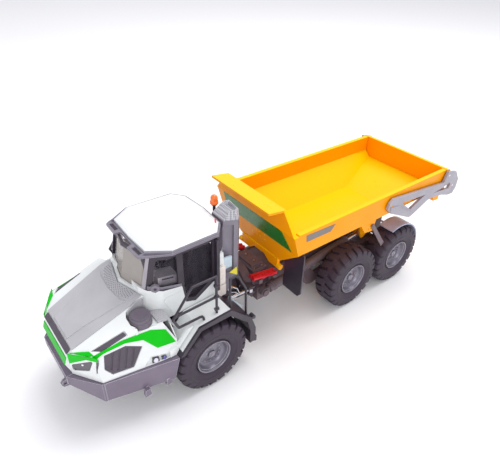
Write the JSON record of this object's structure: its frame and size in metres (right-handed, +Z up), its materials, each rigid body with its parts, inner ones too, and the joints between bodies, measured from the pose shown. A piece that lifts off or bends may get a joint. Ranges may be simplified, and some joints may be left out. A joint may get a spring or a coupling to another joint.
{
  "type": "articulated dump truck scale model",
  "caption": "Three-axle articulated dump truck scale model with centre-pivot steering, rolling wheels, tipping load bed and a tailgate hung on two arms.",
  "frame": {"origin": "middle of the footprint on the ground, on the centre plane of the truck", "axes": "+Z up, +Y toward the tailgate, so the truck faces -Y, and +X is the truck's left"},
  "size_m": [0.0588, 0.2108, 0.0724],
  "materials": {
    "white_enamel": "glossy die-cast enamel",
    "yellow_enamel": "glossy die-cast enamel",
    "grey_casting": "satin grey enamel on die-cast metal",
    "dark_casting": "satin dark grey enamel on die-cast metal",
    "black_plastic": "moulded satin black plastic",
    "grey_plastic": "moulded satin grey plastic",
    "light_grey_plastic": "moulded satin light grey plastic",
    "clear_plastic": "clear moulded styrene",
    "amber_plastic": "translucent amber plastic",
    "rim_grey": "satin grey enamel",
    "tyre_rubber": "moulded soft black rubber",
    "plate_grey": "satin light grey enamel",
    "green_enamel": "glossy bright green enamel",
    "panel_green": "glossy dark green enamel",
    "red_plastic": "moulded glossy red plastic",
    "smoked_plastic": "dark clear moulded lamp lens",
    "silver_steel": "bright drawn steel"
  },
  "bodies": {
    "tractor": {"front_frame": "dark_casting", "front_bumper": "grey_casting", "bonnet": "white_enamel", "bonnet_deck": "plate_grey", "green_bands": "green_enamel", "front_grille": "grey_plastic", "headlamps": "smoked_plastic", "filler_cap": "grey_plastic", "step_panels": "plate_grey", "cab_shell": "white_enamel", "cab_pillars": "black_plastic", "roof_visor": "grey_plastic", "cab_roof": "white_enamel", "cab_glass": "clear_plastic", "cab_interior": "black_plastic", "exhaust_stack": "grey_plastic", "stack_cap": "light_grey_plastic", "beacon": "amber_plastic", "front_fenders": "black_plastic"},
    "hitch": {"hitch_yoke": "dark_casting"},
    "rear_chassis": {"rear_frame": "dark_casting", "hitch_pipes": "red_plastic", "mudguards": "light_grey_plastic"},
    "tub": {"bed": "yellow_enamel", "bed_panel": "panel_green", "mudflaps": "black_plastic", "bed_struts": "light_grey_plastic"},
    "gate": {"tailgate": "yellow_enamel", "gate_arms": "light_grey_plastic"},
    "wheel_set_front_left": {"wheel_front_left": "rim_grey", "tyre_front_left": "tyre_rubber"},
    "wheel_set_front_right": {"wheel_front_right": "rim_grey", "tyre_front_right": "tyre_rubber"},
    "wheel_set_middle_left": {"wheel_middle_left": "rim_grey", "tyre_middle_left": "tyre_rubber"},
    "wheel_set_middle_right": {"wheel_middle_right": "rim_grey", "tyre_middle_right": "tyre_rubber"},
    "wheel_set_rear_left": {"wheel_rear_left": "rim_grey", "tyre_rear_left": "tyre_rubber"},
    "wheel_set_rear_right": {"wheel_rear_right": "rim_grey", "tyre_rear_right": "tyre_rubber"},
    "tip_cylinder_left": {"tip_barrel_left": "grey_casting"},
    "tip_ram_left": {"tip_rod_left": "silver_steel"},
    "tip_cylinder_right": {"tip_barrel_right": "grey_casting"},
    "tip_ram_right": {"tip_rod_right": "silver_steel"},
    "steer_cylinder_left": {"steer_barrel_left": "dark_casting"},
    "steer_ram_left": {"steer_rod_left": "silver_steel"},
    "steer_cylinder_right": {"steer_barrel_right": "dark_casting"},
    "steer_ram_right": {"steer_rod_right": "silver_steel"}
  },
  "joints": [
    {"name": "steer", "type": "hinge", "parent": "tractor", "child": "hitch", "pos_m": [0, -0.0271, 0.022], "axis": [0, 0, 1], "range_deg": [-40, 40]},
    {"name": "oscillation", "type": "hinge", "parent": "hitch", "child": "rear_chassis", "pos_m": [0, -0.0271, 0.022], "axis": [0, 1, 0], "range_deg": [-10, 10]},
    {"name": "front_left_wheel_spin", "type": "hinge", "parent": "tractor", "child": "wheel_set_front_left", "pos_m": [0.023, -0.0516, 0.01615], "axis": [1, 0, 0], "continuous": true},
    {"name": "front_right_wheel_spin", "type": "hinge", "parent": "tractor", "child": "wheel_set_front_right", "pos_m": [-0.023, -0.0516, 0.01615], "axis": [1, 0, 0], "continuous": true},
    {"name": "middle_left_wheel_spin", "type": "hinge", "parent": "rear_chassis", "child": "wheel_set_middle_left", "pos_m": [0.023, 0.0305, 0.01615], "axis": [1, 0, 0], "continuous": true},
    {"name": "middle_right_wheel_spin", "type": "hinge", "parent": "rear_chassis", "child": "wheel_set_middle_right", "pos_m": [-0.023, 0.0305, 0.01615], "axis": [1, 0, 0], "continuous": true},
    {"name": "rear_left_wheel_spin", "type": "hinge", "parent": "rear_chassis", "child": "wheel_set_rear_left", "pos_m": [0.023, 0.0641, 0.01615], "axis": [1, 0, 0], "continuous": true},
    {"name": "rear_right_wheel_spin", "type": "hinge", "parent": "rear_chassis", "child": "wheel_set_rear_right", "pos_m": [-0.023, 0.0641, 0.01615], "axis": [1, 0, 0], "continuous": true},
    {"name": "bed_tip", "type": "hinge", "parent": "rear_chassis", "child": "tub", "pos_m": [0, 0.0704, 0.032], "axis": [-1, 0, 0], "range_deg": [0, 70]},
    {"name": "tailgate_swing", "type": "hinge", "parent": "tub", "child": "gate", "pos_m": [0, 0.049, 0.0506], "axis": [1, 0, 0], "range_deg": [0, 40]},
    {"name": "tip_cylinder_left_swing", "type": "hinge", "parent": "rear_chassis", "child": "tip_cylinder_left", "pos_m": [0.0135, -0.0142, 0.0208], "axis": [1, 0, 0], "range_deg": [0, 15.26]},
    {"name": "tip_ram_left_slide", "type": "slide", "parent": "tip_cylinder_left", "child": "tip_ram_left", "axis": [0, 0.9926, 0.1211], "range_m": [0, 0.01632]},
    {"name": "tip_cylinder_right_swing", "type": "hinge", "parent": "rear_chassis", "child": "tip_cylinder_right", "pos_m": [-0.0135, -0.0142, 0.0208], "axis": [1, 0, 0], "range_deg": [0, 15.26]},
    {"name": "tip_ram_right_slide", "type": "slide", "parent": "tip_cylinder_right", "child": "tip_ram_right", "axis": [0, 0.9926, 0.1211], "range_m": [0, 0.01632]},
    {"name": "steer_cylinder_left_swing", "type": "hinge", "parent": "tractor", "child": "steer_cylinder_left", "pos_m": [0.0105, -0.0546, 0.0246], "axis": [0, 0, 1], "range_deg": [-6.68, 6.68]},
    {"name": "steer_ram_left_slide", "type": "slide", "parent": "steer_cylinder_left", "child": "steer_ram_left", "axis": [0.0447, 0.999, 0], "range_m": [-0.00781, 0.00781]},
    {"name": "steer_cylinder_right_swing", "type": "hinge", "parent": "tractor", "child": "steer_cylinder_right", "pos_m": [-0.0105, -0.0546, 0.0246], "axis": [0, 0, 1], "range_deg": [-6.68, 6.68]},
    {"name": "steer_ram_right_slide", "type": "slide", "parent": "steer_cylinder_right", "child": "steer_ram_right", "axis": [-0.0447, 0.999, 0], "range_m": [-0.00781, 0.00781]}
  ],
  "couplings": [
    {"joint": "tip_cylinder_left_swing", "follows": "bed_tip", "ratio": 0.21799},
    {"joint": "tip_ram_left_slide", "follows": "bed_tip", "m_per_rad": 0.013358},
    {"joint": "tip_cylinder_right_swing", "follows": "bed_tip", "ratio": 0.21799},
    {"joint": "tip_ram_right_slide", "follows": "bed_tip", "m_per_rad": 0.013358},
    {"joint": "steer_cylinder_left_swing", "follows": "steer", "ratio": 0.167},
    {"joint": "steer_ram_left_slide", "follows": "steer", "m_per_rad": 0.011192},
    {"joint": "steer_cylinder_right_swing", "follows": "steer", "ratio": 0.167},
    {"joint": "steer_ram_right_slide", "follows": "steer", "m_per_rad": -0.011192}
  ]
}
